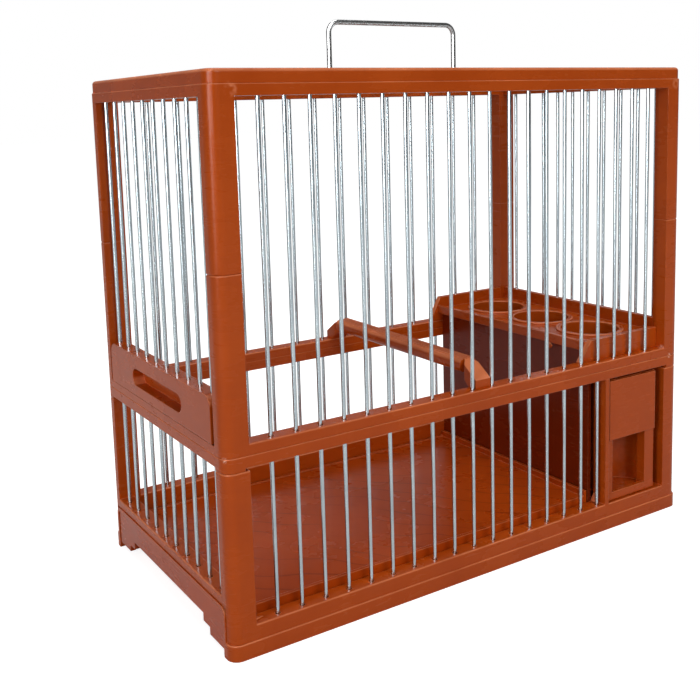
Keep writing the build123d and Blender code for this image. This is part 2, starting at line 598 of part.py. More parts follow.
# Handle: one bent wire that drops through the crossbar, with a hook under each leg
with BuildPart() as handle_bail:
    with BuildLine() as handle_path:
        hook_z = ROOF_SEAM - HOOK_GAP - HANDLE_WIRE_R
        turn = HANDLE_LEG_X + HOOK_R
        tail = turn + HOOK_TAIL
        bar_z = HANDLE_TOP - HANDLE_CORNER_R
        bar_x = HANDLE_LEG_X - HANDLE_CORNER_R
        l1 = Line((-tail, 0, hook_z), (-turn, 0, hook_z))
        l2 = TangentArc(l1 @ 1, (-HANDLE_LEG_X, 0, hook_z + HOOK_R), tangent=l1 % 1)
        l3 = Line(l2 @ 1, (-HANDLE_LEG_X, 0, bar_z))
        l4 = TangentArc(l3 @ 1, (-bar_x, 0, HANDLE_TOP), tangent=l3 % 1)
        l5 = Line(l4 @ 1, (bar_x, 0, HANDLE_TOP))
        l6 = TangentArc(l5 @ 1, (HANDLE_LEG_X, 0, bar_z), tangent=l5 % 1)
        l7 = Line(l6 @ 1, (HANDLE_LEG_X, 0, hook_z + HOOK_R))
        l8 = TangentArc(l7 @ 1, (turn, 0, hook_z), tangent=l7 % 1)
        l9 = Line(l8 @ 1, (tail, 0, hook_z))
    with BuildSketch(Plane(origin=l1 @ 0, z_dir=l1 % 0)):
        Circle(HANDLE_WIRE_R)
    sweep()
handle_bail.part.label = "handle_bail"
export_step(handle_bail.part, "parts/handle_bail.step")


# Perch: a fluted bar on two bevelled feet that stand between the wires
with BuildPart() as perch:
    perch_bottom = PERCH_TOP - PERCH_T
    with BuildSketch(Plane.XZ) as perch_section:
        with Locations((0, PERCH_TOP - PERCH_T / 2)):
            RectangleRounded(PERCH_W, PERCH_T, PERCH_EDGE_R)
        with Locations(*[(x, PERCH_TOP) for x in row_places(FLUTE_COUNT, FLUTE_PITCH)]):
            Circle(FLUTE_R, mode=Mode.SUBTRACT)
        with Locations(*[(x, perch_bottom) for x in row_places(FLUTE_COUNT - 2, FLUTE_PITCH)]):
            Circle(FLUTE_R, mode=Mode.SUBTRACT)
    extrude(amount=PERCH_HALF_Y, both=True)
    for side in LEG_ENDS:
        foot_y = FACE_Y - FOOT_FROM_FACE
        with BuildSketch(Plane.YZ) as foot_side:
            with BuildLine():
                Polyline(
                    (side * PERCH_HALF_Y, perch_bottom),
                    (side * PERCH_HALF_Y, PERCH_TOP - FLUTE_R),
                    (side * foot_y, MID_TOP + FOOT_END_H),
                    (side * foot_y, MID_TOP),
                    (side * IN_Y, MID_TOP),
                    close=True,
                )
            make_face()
        foot = extrude(amount=FOOT_W / 2, both=True, mode=Mode.PRIVATE)
        slope = foot.faces().sort_by(Axis.Z)[-1]
        slope_sides = [e for e in slope.edges() if abs(abs(e.center().X) - FOOT_W / 2) < 0.01]
        add(foot.chamfer(FOOT_BEVEL, None, slope_sides))
perch.part.label = "perch"
export_step(perch.part, "parts/perch.step")


# Feeder shelf: a holed plate with a lip, rims on the rails and a short chute under each hole
with BuildPart() as feeder_shelf:
    plate_y = IN_Y - SHELF_FIT
    rim_x = IN_X + RIM_T
    rim_end_x = POST_IN_X - SHELF_FIT
    extrude(box_on(SHELF_X, rim_x, -plate_y, plate_y, SHELF_TOP), amount=-SHELF_T)
    extrude(box_on(SHELF_X, SHELF_X + LIP_T, -plate_y, plate_y, LIP_TOP), amount=-LIP_H)
    extrude(box_on(IN_X - SHELF_FIT, rim_x, -plate_y, plate_y, MID_TOP), amount=BACK_RIM_TOP - MID_TOP)
    for side, rim_top in ((-1, FRONT_RIM_TOP), (1, BACK_RIM_TOP)):
        ramp_x = SHELF_X + LIP_T - RAMP_RUN
        ramp_top = (SHELF_X + LIP_T, rim_top)
        rim_plane = Plane.XZ.offset(-side * (plate_y + SHELF_FIT + RIM_T))
        with BuildSketch(rim_plane) as rim:
            with BuildLine():
                rim_end = ((rim_end_x, rim_top), (rim_end_x, MID_TOP))
                Polyline((ramp_x, MID_TOP), ramp_top, *rim_end, close=True)
            make_face()
        extrude(amount=side * (SHELF_FIT + RIM_T))
    cup_places = [(CUP_X, y) for y in CUP_YS]
    chute_h = SHELF_TOP + COLLAR_H - CHUTE_BOTTOM
    extrude(dots_on(cup_places, CUP_R + CUP_WALL, CHUTE_BOTTOM), amount=chute_h)
    extrude(dots_on(cup_places, CUP_R + COLLAR_W, SHELF_TOP), amount=COLLAR_H)
    extrude(dots_on(cup_places, CUP_R, CHUTE_BOTTOM), amount=chute_h, mode=Mode.SUBTRACT)
    collar_tops = [e for e in feeder_shelf.edges().filter_by(GeomType.CIRCLE)
                   if abs(e.center().Z - SHELF_TOP - COLLAR_H) < 0.01]
    fillet(collar_tops, EDGE_R)
feeder_shelf.part.label = "feeder_shelf"
export_step(feeder_shelf.part, "parts/feeder_shelf.step")


# Feeder housing: three walls and a floor behind the drawer's opening
with BuildPart() as feeder_housing:
    wall_h = HOUSING_TOP - LEDGE_H
    wall_in_y = HOUSING_HALF_Y - HOUSING_T
    left_wall = box_on(HOUSING_X, HOUSING_X + HOUSING_T, -HOUSING_HALF_Y, HOUSING_HALF_Y, LEDGE_H)
    extrude(left_wall, amount=wall_h)
    end_wall = box_on(HOUSING_END_X - HOUSING_T, HOUSING_END_X, -HOUSING_HALF_Y, HOUSING_HALF_Y, LEDGE_H)
    extrude(end_wall, amount=wall_h)
    extrude(box_on(HOUSING_X, HOUSING_END_X, wall_in_y, HOUSING_HALF_Y, LEDGE_H), amount=wall_h)
    floor_z = HOUSING_FLOOR_TOP - HOUSING_FLOOR_T
    housing_floor = box_on(HOUSING_X, HOUSING_END_X, -HOUSING_HALF_Y, HOUSING_HALF_Y, floor_z)
    extrude(housing_floor, amount=HOUSING_FLOOR_T)
    left_guide = DRAWER_CENTER_X - DRAWER_BODY_W / 2 - DRAWER_GUIDE_GAP
    right_guide = DRAWER_CENTER_X + DRAWER_BODY_W / 2 + DRAWER_GUIDE_GAP
    for guide_x in (left_guide - GUIDE_T, right_guide):
        guide = box_on(guide_x, guide_x + GUIDE_T, -HOUSING_HALF_Y, wall_in_y, HOUSING_FLOOR_TOP)
        extrude(guide, amount=GUIDE_H)
    flange_x = DRAWER_FACE_X + DRAWER_FACE_W + DRAWER_GUIDE_GAP
    extrude(box_on(flange_x, HOUSING_END_X, -HOUSING_HALF_Y, -wall_in_y, HOUSING_FLOOR_TOP),
            amount=LOWER_POST_TOP - HOUSING_FLOOR_TOP)
feeder_housing.part.label = "feeder_housing"
export_step(feeder_housing.part, "parts/feeder_housing.step")


# Feeder drawer: a face with a window, a seed niche behind it and three round cups
with BuildPart() as feeder_drawer:
    body_x0 = DRAWER_CENTER_X - DRAWER_BODY_W / 2
    body_x1 = DRAWER_CENTER_X + DRAWER_BODY_W / 2
    drawer_h = DRAWER_TOP - DRAWER_BOTTOM
    well_z = DRAWER_BOTTOM + DRAWER_BASE_T
    well_h = DRAWER_TOP - well_z
    extrude(dots_on(cup_places, CUP_R + CUP_WALL, DRAWER_BOTTOM), amount=drawer_h)
    cup_web = box_on(CUP_X - CUP_R / 2, CUP_X + CUP_R / 2, CUP_YS[0], CUP_YS[-1], DRAWER_BOTTOM)
    extrude(cup_web, amount=drawer_h)
    extrude(box_on(body_x0, body_x1, -DRAWER_BODY_Y, CUP_YS[0], DRAWER_BOTTOM), amount=drawer_h)
    face_x1 = DRAWER_FACE_X + DRAWER_FACE_W
    extrude(box_on(DRAWER_FACE_X, face_x1, -DRAWER_FACE_Y, -DRAWER_BODY_Y, DRAWER_BOTTOM), amount=drawer_h)
    with BuildSketch(Plane.XY.offset(well_z)) as niche_plan:
        with Locations((DRAWER_CENTER_X, -NICHE_Y)):
            Circle(NICHE_R)
        with Locations((DRAWER_CENTER_X, -(NICHE_Y + DRAWER_BODY_Y) / 2)):
            Rectangle(2 * NICHE_R, DRAWER_BODY_Y - NICHE_Y)
        with Locations((DRAWER_CENTER_X, -DRAWER_BODY_Y - NICHE_R)):
            Rectangle(2 * NICHE_R, 2 * NICHE_R, mode=Mode.SUBTRACT)
    extrude(amount=well_h, mode=Mode.SUBTRACT)
    with BuildSketch(Plane.XY.offset(well_z)) as front_cup_plan:
        with Locations((CUP_X, CUP_YS[0])):
            Circle(CUP_R)
        with Locations((DRAWER_CENTER_X, -NICHE_Y)):
            Circle(NICHE_R + CUP_WALL, mode=Mode.SUBTRACT)
    extrude(amount=NICHE_TOP - well_z, mode=Mode.SUBTRACT)
    extrude(dots_on(cup_places[:1], CUP_R, NICHE_TOP), amount=DRAWER_TOP - NICHE_TOP, mode=Mode.SUBTRACT)
    extrude(dots_on(cup_places[1:], CUP_R, well_z), amount=well_h, mode=Mode.SUBTRACT)
    for jamb_x in (WINDOW_X - JAMB_T, WINDOW_X + WINDOW_W):
        jamb = box_on(jamb_x, jamb_x + JAMB_T, -DRAWER_BODY_Y, -DRAWER_BODY_Y + JAMB_DEPTH, DRAWER_BOTTOM)
        extrude(jamb, amount=WINDOW_BOTTOM + WINDOW_H - DRAWER_BOTTOM)
    with BuildSketch(Plane.XZ.offset(DRAWER_FACE_Y)) as window:
        with Locations((WINDOW_X + WINDOW_W / 2, WINDOW_BOTTOM + WINDOW_H / 2)):
            Rectangle(WINDOW_W, WINDOW_H)
    extrude(amount=-DRAWER_FACE_T, mode=Mode.SUBTRACT)
    key_low = DRAWER_TOP - KEY_FROM_TOP - KEY_H - SHUTTER_TRAVEL
    with BuildSketch(Plane.XZ.offset(DRAWER_FACE_Y)) as key_slots:
        slot_z = key_low - SHUTTER_FIT
        for side in LEG_ENDS:
            with Locations((DRAWER_CENTER_X + side * KEY_HALF_SPAN, (slot_z + DRAWER_TOP) / 2)):
                Rectangle(KEY_NECK_W + 2 * SHUTTER_FIT, DRAWER_TOP - slot_z)
    extrude(amount=-DRAWER_FACE_T, mode=Mode.SUBTRACT)
feeder_drawer.part.label = "feeder_drawer"
export_step(feeder_drawer.part, "parts/feeder_drawer.step")


# Feeder shutter: a plate in front of the drawer's face, held by two keys in its slots
with BuildPart() as feeder_shutter:
    plate_y = FACE_Y - SHUTTER_INSET
    plate = box_on(DRAWER_FACE_X, DRAWER_FACE_X + SHUTTER_W, -plate_y, -plate_y + SHUTTER_T, SHUTTER_BOTTOM)
    extrude(plate, amount=DRAWER_TOP - SHUTTER_BOTTOM)
    key_z = DRAWER_TOP - KEY_FROM_TOP - KEY_H
    head_y = DRAWER_BODY_Y - SHUTTER_FIT
    for side in LEG_ENDS:
        key_x = DRAWER_CENTER_X + side * KEY_HALF_SPAN
        neck = box_on(key_x - KEY_NECK_W / 2, key_x + KEY_NECK_W / 2, -plate_y + SHUTTER_T, -head_y, key_z)
        extrude(neck, amount=KEY_H)
        head = box_on(key_x - KEY_HEAD_W / 2, key_x + KEY_HEAD_W / 2, -head_y, -head_y + KEY_HEAD_T, key_z)
        extrude(head, amount=KEY_H)
feeder_shutter.part.label = "feeder_shutter"
export_step(feeder_shutter.part, "parts/feeder_shutter.step")
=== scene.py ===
"""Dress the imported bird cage: finishes for its mouldings and wires, fine moulded detail, floor, light and camera."""

import logging
import math
from dataclasses import dataclass
from enum import Enum

import bmesh
import bpy
from mathutils import Matrix, Vector

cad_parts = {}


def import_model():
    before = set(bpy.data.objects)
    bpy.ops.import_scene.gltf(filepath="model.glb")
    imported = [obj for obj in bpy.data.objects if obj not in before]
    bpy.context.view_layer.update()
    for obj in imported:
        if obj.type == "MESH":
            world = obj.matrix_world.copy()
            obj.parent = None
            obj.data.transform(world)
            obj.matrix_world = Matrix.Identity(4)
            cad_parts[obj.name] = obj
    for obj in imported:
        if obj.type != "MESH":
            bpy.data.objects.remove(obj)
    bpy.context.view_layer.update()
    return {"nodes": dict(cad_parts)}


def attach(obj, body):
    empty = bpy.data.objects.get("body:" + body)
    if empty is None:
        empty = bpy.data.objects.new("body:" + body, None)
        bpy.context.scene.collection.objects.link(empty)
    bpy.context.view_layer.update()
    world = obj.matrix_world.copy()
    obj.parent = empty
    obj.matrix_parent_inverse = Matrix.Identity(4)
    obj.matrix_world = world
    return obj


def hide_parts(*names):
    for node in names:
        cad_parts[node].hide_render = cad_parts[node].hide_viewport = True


Point = tuple[float, float, float]
Colour = tuple[float, float, float, float]
Band = tuple[float, float]

logging.basicConfig(level=logging.INFO, format="%(message)s")
LOG = logging.getLogger("bird_cage")

# Sizes that several pieces share, in metres, as the solids have them
HALF_X = 0.104775
HALF_Y = 0.053975
FACE_X = 0.104375
FACE_Y = 0.053575
RAIL = 0.0064
BOTTOM_RAIL_TOP = 0.0105
SILL_TOP = 0.0200
MID_BOTTOM = 0.0624
MID_TOP = 0.0698
TOP_RAIL_BOTTOM = 0.1760
ROOF_SEAM = 0.1797
ROOF_TOP = 0.18415
WIRE_R = 0.0007
WIRE_SEAT = 0.0030  # how far a wire's end goes into a rail
WIRE_INSET = 0.0030  # how far a row stands in from the cage's outside
FRONT_PITCH = 0.00912
BACK_PITCH = 0.0127
SIDE_PITCH = 0.0094
SIDE_COUNT = 10
WIRE_X = HALF_X - WIRE_INSET
WIRE_Y = HALF_Y - WIRE_INSET

NOISE_MIDDLE = 0.5
WHITE: Colour = (1, 1, 1, 1)


class Body(Enum):
    """The bodies that pieces made here ride on."""

    CAGE = "cage"
    DOOR = "side_door"
    HANDLE = "handle"


class Slot(Enum):
    """Material slots of the record."""

    PLASTIC = "brown_plastic"
    WIRE = "cage_wire"
    HANDLE = "handle_wire"


class NodeValue:
    """A number socket of a node tree that takes part in Python arithmetic."""

    def __init__(self, tree: bpy.types.NodeTree, socket: bpy.types.NodeSocket) -> None:
        """Wrap one output socket of the tree."""
        self.tree = tree
        self.socket = socket

    def _math(self, operation: str, *terms: "NodeValue | float", clamp: bool = False) -> "NodeValue":
        """Add a Math node.

        Args:
            operation: the node's operation.
            terms: its inputs, in order.
            clamp: whether the result is kept between 0 and 1.

        Returns:
            The node's result.
        """
        node = self.tree.nodes.new("ShaderNodeMath")
        node.operation = operation
        node.use_clamp = clamp
        for plug, term in zip(node.inputs, terms):
            if isinstance(term, NodeValue):
                self.tree.links.new(term.socket, plug)
            else:
                plug.default_value = float(term)
        return NodeValue(self.tree, node.outputs[0])

    def __add__(self, other: "NodeValue | float") -> "NodeValue":
        """Add."""
        return self._math("ADD", self, other)

    def __radd__(self, other: float) -> "NodeValue":
        """Add to a number."""
        return self._math("ADD", other, self)

    def __sub__(self, other: "NodeValue | float") -> "NodeValue":
        """Subtract."""
        return self._math("SUBTRACT", self, other)

    def __rsub__(self, other: float) -> "NodeValue":
        """Subtract from a number."""
        return self._math("SUBTRACT", other, self)

    def __mul__(self, other: "NodeValue | float") -> "NodeValue":
        """Multiply."""
        return self._math("MULTIPLY", self, other)

    def __rmul__(self, other: float) -> "NodeValue":
        """Multiply a number."""
        return self._math("MULTIPLY", other, self)

    def __truediv__(self, other: "NodeValue | float") -> "NodeValue":
        """Divide."""
        return self._math("DIVIDE", self, other)

    def __rtruediv__(self, other: float) -> "NodeValue":
        """Divide a number."""
        return self._math("DIVIDE", other, self)

    def __pow__(self, other: "NodeValue | float") -> "NodeValue":
        """Raise to a power."""
        return self._math("POWER", self, other)

    def __rpow__(self, other: float) -> "NodeValue":
        """Raise a number to this power."""
        return self._math("POWER", other, self)

    def clamped(self) -> "NodeValue":
        """Keep between 0 and 1."""
        return self._math("ADD", self, 0.0, clamp=True)

    def most(self, other: "NodeValue | float") -> "NodeValue":
        """The larger of two."""
        return self._math("MAXIMUM", self, other)

    def off_whole(self) -> "NodeValue":
        """How far the number is from the nearest whole one."""
        return self._math("PINGPONG", self, 0.5)

    def above(self, low: float, high: float) -> "NodeValue":
        """A ramp that is 0 at low and 1 at high."""
        return ((self - low) * (1.0 / (high - low))).clamped()


class NodeBench:
    """Adds nodes to one tree, shader or geometry, from their type, settings and inputs."""

    def __init__(self, tree: bpy.types.NodeTree) -> None:
        """Start on a tree."""
        self.tree = tree

    def node(self, kind: str, settings: dict[str, object] | None = None,
             inputs: dict[str | int, object] | None = None) -> bpy.types.Node:
        """Add one node.

        Args:
            kind: the node's type name.
            settings: properties that are set before the inputs.
            inputs: values, sockets or wrapped sockets by the input's identifier, name or number.

        Returns:
            The new node.
        """
        made = self.tree.nodes.new(kind)
        for key, value in (settings or {}).items():
            setattr(made, key, value)
        for key, value in (inputs or {}).items():
            plug = self.plug(made, key)
            if isinstance(value, NodeValue):
                self.tree.links.new(value.socket, plug)
            elif isinstance(value, bpy.types.NodeSocket):
                self.tree.links.new(value, plug)
            else:
                plug.default_value = value
        return made

    def plug(self, made: bpy.types.Node, key: str | int) -> bpy.types.NodeSocket:
        """Find an input by number, identifier or name.

        Args:
            made: the node.
            key: what names the input.

        Returns:
            The input socket.
        """
        if isinstance(key, int):
            return made.inputs[key]
        for socket in made.inputs:
            if socket.identifier == key:
                return socket
        return next(s for s in made.inputs if s.name == key and s.enabled)

    def vectors(self, operation: str, *terms: "bpy.types.NodeSocket | Point") -> bpy.types.Node:
        """A Vector Math node."""
        return self.node("ShaderNodeVectorMath", {"operation": operation}, dict(enumerate(terms)))

    def value(self, made: bpy.types.Node, output: str | int = 0) -> NodeValue:
        """Wrap one output of a node."""
        return NodeValue(self.tree, made.outputs[output])


@dataclass(frozen=True)
class Grain:
    """A noise pattern: cells per metre, octaves, their roughness, its warp, and how its coordinates are mapped."""

    scale: float
    detail: float
    rough: float
    warp: float = 0.0
    stretch: Point = (1.0, 1.0, 1.0)
    shift: Point = (0.0, 0.0, 0.0)
    turn: Point = (0.0, 0.0, 0.0)

    @property
    def mapped(self) -> bool:
        """Whether its coordinates differ from Object coordinates."""
        return (self.stretch, self.shift, self.turn) != (Grain.stretch, Grain.shift, Grain.turn)


def empty_material(name: str) -> bpy.types.Material:
    """Make a material with an empty node tree.

    Args:
        name: its name.

    Returns:
        The material.
    """
    material = bpy.data.materials.new(name)
    material.use_nodes = True
    material.node_tree.nodes.clear()
    return material


class MaterialBench(NodeBench):
    """Builds one surface material around a Principled shader."""

    BEVEL_SAMPLES = 6

    def __init__(self, name: str) -> None:
        """Start on an empty material.

        Args:
            name: the material's name.
        """
        self.material = empty_material(name)
        super().__init__(self.material.node_tree)
        self.place = self.node("ShaderNodeTexCoord").outputs["Object"]

    def noise(self, grain: Grain) -> NodeValue:
        """Noise around NOISE_MIDDLE.

        Args:
            grain: the pattern.

        Returns:
            The noise value.
        """
        place = self.place
        if grain.mapped:
            place = self.node("ShaderNodeMapping", None, {"Vector": place, "Location": grain.shift,
                                                          "Rotation": grain.turn, "Scale": grain.stretch}).outputs[0]
        made = self.node("ShaderNodeTexNoise", None, {"Vector": place, "Scale": grain.scale, "Detail": grain.detail,
                                                      "Roughness": grain.rough, "Distortion": grain.warp})
        return self.value(made, "Fac")

    def distance(self, spot: Point) -> NodeValue:
        """Distance from a spot, in metres."""
        return self.value(self.vectors("DISTANCE", self.place, spot), "Value")

    def mix(self, factor: NodeValue, first: "Colour | bpy.types.NodeSocket",
            second: "Colour | bpy.types.NodeSocket") -> bpy.types.NodeSocket:
        """Mix two colours.

        Args:
            factor: 0 gives the first, 1 the second.
            first: a colour or a colour socket.
            second: a colour or a colour socket.

        Returns:
            The mixed colour.
        """
        made = self.node("ShaderNodeMix", {"data_type": "RGBA", "clamp_factor": True},
                         {"Factor_Float": factor, "A_Color": first, "B_Color": second})
        return next(s for s in made.outputs if s.identifier == "Result_Color")

    def edges(self, radius: float) -> tuple[bpy.types.NodeSocket, NodeValue]:
        """Round the edges for the light, and find where they are.

        Args:
            radius: rounding in metres.

        Returns:
            The rounded normal, and a mask that rises from 0 on flats towards 1 on sharp edges.
        """
        rounded = self.node("ShaderNodeBevel", {"samples": self.BEVEL_SAMPLES}, {"Radius": radius}).outputs[0]
        flat = self.node("ShaderNodeNewGeometry").outputs["Normal"]
        return rounded, 1.0 - self.value(self.vectors("DOT_PRODUCT", rounded, flat), "Value")

    def bump(self, height: NodeValue, distance: float, strength: float,
             normal: bpy.types.NodeSocket | None = None) -> bpy.types.NodeSocket:
        """A Bump node.

        Args:
            height: the height value.
            distance: its scale in metres.
            strength: how much of it is used.
            normal: the normal that it starts from.

        Returns:
            The bumped normal.
        """
        inputs = {"Height": height, "Distance": distance, "Strength": strength}
        if normal is not None:
            inputs["Normal"] = normal
        return self.node("ShaderNodeBump", None, inputs).outputs[0]

    def finish(self, constants: dict[str, float], colour: bpy.types.NodeSocket, rough: NodeValue,
               normal: bpy.types.NodeSocket) -> bpy.types.Material:
        """Close the material with a Principled shader.

        Args:
            constants: numbers set on the shader's own sockets.
            colour: its base colour.
            rough: its roughness.
            normal: its normal.

        Returns:
            The finished material.
        """
        shader = self.node("ShaderNodeBsdfPrincipled", None,
                           {**constants, "Base Color": colour, "Roughness": rough, "Normal": normal})
        self.node("ShaderNodeOutputMaterial", None, {"Surface": shader.outputs[0]})
        return self.material


@dataclass(frozen=True)
class Rub:
    """A small pale rub with a ragged outline, round a spot."""

    spot: Point
    reach: float
    colour: Colour = (0.80, 0.50, 0.38, 1)
    ragged: Grain = Grain(900.0, 3.0, 0.6)
    ragged_band: Band = (0.42, 0.58)
    full_share: float = 0.35

    def mask(self, bench: MaterialBench) -> NodeValue:
        """Find where the rub shows.

        Args:
            bench: the material's bench.

        Returns:
            A mask of the rub.
        """
        ragged = bench.noise(self.ragged)
        away = bench.distance(self.spot) + (ragged - NOISE_MIDDLE) * self.reach
        inside = 1.0 - away.above(self.reach * self.full_share, self.reach)
        return inside * ragged.above(*self.ragged_band)


@dataclass(frozen=True)
class GateSwirl:
    """A pale swirl where the plastic entered the mould."""

    spot: Point
    strength: float = 0.5
    warp: Grain = Grain(260.0, 2.0, 0.5)
    warp_reach: float = 0.004
    warp_band: Band = (0.40, 0.62)
    inner_band: Band = (0.0006, 0.0013)
    outer_band: Band = (0.0017, 0.0026)

    def mask(self, bench: MaterialBench) -> NodeValue:
        """Find where the swirl shows.

        Args:
            bench: the material's bench.

        Returns:
            A mask of the swirl.
        """
        warp = bench.noise(self.warp)
        away = bench.distance(self.spot) + (warp - NOISE_MIDDLE) * self.warp_reach
        ring = away.above(*self.inner_band) * (1.0 - away.above(*self.outer_band))
        return ring * warp.above(*self.warp_band) * self.strength


@dataclass(frozen=True)
class FlowLines:
    """Thin wavy lines that the plastic left on level faces as it filled the mould, broken here and there."""

    strength: float
    colour: Colour = (0.120, 0.012, 0.0008, 1)
    lines_per_metre: Point = (76.0, 71.0, 0.0)
    line_band: Band = (0.020, 0.060)
    bend: Grain = Grain(24.0, 2.0, 0.5)
    bend_reach: float = 2.2
    gaps: Grain = Grain(31.0, 1.0, 0.5, shift=(3.0, 1.0, 0.0))
    gap_band: Band = (0.36, 0.52)
    level_band: Band = (0.80, 0.95)

    def mask(self, bench: MaterialBench, upward: NodeValue) -> NodeValue:
        """Find where the lines show.

        Args:
            bench: the material's bench.
            upward: how far the surface faces up.

        Returns:
            A mask of the lines.
        """
        along = bench.value(bench.vectors("DOT_PRODUCT", bench.place, self.lines_per_metre), "Value")
        bent = along + (bench.noise(self.bend) - NOISE_MIDDLE) * self.bend_reach
        lines = (1.0 - bent.off_whole().above(*self.line_band)) * bench.noise(self.gaps).above(*self.gap_band)
        return lines * upward.above(*self.level_band) * self.strength


@dataclass(frozen=True)
class MouldedPlastic:
    """Semi-gloss brown plastic, with flow streaks, fine unevenness, rounded edges with a little wear, and a painted
    highlight on its edges and up-facing fillets.
    """

    name: str = "moulded_brown"
    body: Colour = (0.400, 0.060, 0.0040, 1)
    deep: Colour = (0.345, 0.048, 0.0028, 1)
    # pale: colour of the specks and gate swirls, and of the painted highlight, with a little wear, on edges and
    # up-facing fillets
    pale: Colour = (0.74, 0.250, 0.110, 1)
    swirls: tuple[GateSwirl, ...] = ()
    rubs: tuple[Rub, ...] = ()
    flow: FlowLines | None = None

    cloud: Grain = Grain(38.0, 4.0, 0.55)
    streak: Grain = Grain(1.0, 3.0, 0.6, warp=0.4, stretch=(70.0, 70.0, 420.0))
    streak_share: float = 0.2
    tone_band: Band = (0.34, 0.66)
    speck: Grain = Grain(1700.0, 2.0, 0.7)
    speck_band: Band = (0.70, 0.80)
    speck_share: float = 0.10

    # Edges and up-facing fillets are painted paler: a painted highlight of light from above, broken into patches like
    # wear
    edge_radius: float = 0.00040
    edge_gain: float = 3.0
    edge_share: float = 0.35
    fillet_band: Band = (0.12, 0.45)
    level_band: Band = (0.93, 0.99)
    patch_band: Band = (0.35, 0.60)
    least_wear_and_highlight: float = 0.55
    wear_and_highlight_share: float = 0.62

    roughness: float = 0.27
    cloud_rough: float = 0.14
    streak_rough: float = 0.06
    wear_and_highlight_rough: float = 0.06
    specular: float = 0.14
    ior: float = 1.49
    coat: float = 0.045
    coat_roughness: float = 0.06

    waves: Grain = Grain(105.0, 2.0, 0.45)
    wave_depth: float = 0.0006
    wave_strength: float = 0.15
    skin: Grain = Grain(1350.0, 2.0, 0.6)
    skin_depth: float = 0.00004
    skin_strength: float = 0.275

    def build(self) -> bpy.types.Material:
        """Make the material.

        Returns:
            The finished material.
        """
        bench = MaterialBench(self.name)
        cloud, streak = bench.noise(self.cloud), bench.noise(self.streak)
        normal, edge = bench.edges(self.edge_radius)
        upward = bench.value(bench.node("ShaderNodeSeparateXYZ", None, {0: normal}), "Z")
        # Painted highlight on edges and up-facing fillets, with a little wear
        wear_and_highlight = self._wear_and_highlight(cloud, edge, upward)
        tone = cloud * (1.0 - self.streak_share) + streak * self.streak_share
        colour = bench.mix(tone.above(*self.tone_band), self.deep, self.body)
        colour = self._marked(bench, colour, wear_and_highlight, upward)
        rough = (self.roughness + (cloud - NOISE_MIDDLE) * self.cloud_rough
                 + (streak - NOISE_MIDDLE) * self.streak_rough + wear_and_highlight * self.wear_and_highlight_rough)
        normal = bench.bump(bench.noise(self.waves), self.wave_depth, self.wave_strength, normal)
        normal = bench.bump(bench.noise(self.skin), self.skin_depth, self.skin_strength, normal)
        gloss = {"IOR": self.ior, "Specular IOR Level": self.specular, "Coat Weight": self.coat,
                 "Coat Roughness": self.coat_roughness}
        return bench.finish(gloss, colour, rough, normal)

    def _wear_and_highlight(self, cloud: NodeValue, edge: NodeValue, upward: NodeValue) -> NodeValue:
        """Find the sharp edges and the fillets that face up, where a painted highlight with a little wear goes, paler
        in some patches than in others.

        Args:
            cloud: the patches.
            edge: a mask of the sharp edges.
            upward: how far the surface faces up.

        Returns:
            A mask of the painted highlight and wear on edges and fillets.
        """
        fillets = upward.above(*self.fillet_band) * (1.0 - upward.above(*self.level_band))
        patches = self.least_wear_and_highlight + cloud.above(*self.patch_band) * (1.0 - self.least_wear_and_highlight)
        return ((edge * self.edge_gain).clamped() * self.edge_share).most(fillets) * patches

    def _marked(self, bench: MaterialBench, colour: bpy.types.NodeSocket, wear_and_highlight: NodeValue,
                upward: NodeValue) -> bpy.types.NodeSocket:
        """Add what moulding and use leave, and a painted highlight: pale edges (a painted highlight with a little
        wear) and specks, gate swirls, rubs and flow lines.

        Args:
            bench: the material's bench.
            colour: the plain colour.
            wear_and_highlight: a mask of the painted highlight and wear on edges and fillets.
            upward: how far the surface faces up.

        Returns:
            The colour with its marks.
        """
        specks = bench.noise(self.speck).above(*self.speck_band)
        # Pale edges and up-facing fillets: a painted highlight with a little wear; the specks are the plastic's own
        colour = bench.mix(wear_and_highlight * self.wear_and_highlight_share + specks * self.speck_share, colour, self.pale)
        for swirl in self.swirls:
            colour = bench.mix(swirl.mask(bench), colour, self.pale)
        for rub in self.rubs:
            colour = bench.mix(rub.mask(bench), colour, rub.colour)
        if self.flow:
            colour = bench.mix(self.flow.mask(bench, upward), colour, self.flow.colour)
        return colour


@dataclass(frozen=True)
class GalvanisedWire:
    """Dull zinc-coated steel with faint spangle and drawing marks."""

    name: str = "galvanised_wire"
    bright: Colour = (0.50, 0.57, 0.605, 1)
    dull: Colour = (0.39, 0.45, 0.485, 1)
    speckled: Colour = (0.22, 0.24, 0.25, 1)
    spangle: Grain = Grain(1.0, 3.0, 0.6, stretch=(420.0, 420.0, 90.0))
    drawn: Grain = Grain(1.0, 2.0, 0.6, stretch=(2600.0, 2600.0, 60.0))
    drawn_share: float = 0.3
    tone_band: Band = (0.34, 0.66)
    speck: Grain = Grain(2200.0, 2.0, 0.6)
    speck_band: Band = (0.68, 0.78)
    speck_share: float = 0.18
    roughness: float = 0.21
    spangle_rough: float = 0.12
    drawn_rough: float = 0.06
    drawn_depth: float = 0.00001
    drawn_strength: float = 0.15

    def build(self) -> bpy.types.Material:
        """Make the material.

        Returns:
            The finished material.
        """
        bench = MaterialBench(self.name)
        spangle, drawn = bench.noise(self.spangle), bench.noise(self.drawn)
        tone = spangle * (1.0 - self.drawn_share) + drawn * self.drawn_share
        colour = bench.mix(tone.above(*self.tone_band), self.dull, self.bright)
        specks = bench.noise(self.speck).above(*self.speck_band)
        colour = bench.mix(specks * self.speck_share, colour, self.speckled)
        rough = (self.roughness + (spangle - NOISE_MIDDLE) * self.spangle_rough
                 + (drawn - NOISE_MIDDLE) * self.drawn_rough)
        normal = bench.bump(drawn, self.drawn_depth, self.drawn_strength)
        return bench.finish({"Metallic": 1.0}, colour, rough, normal)


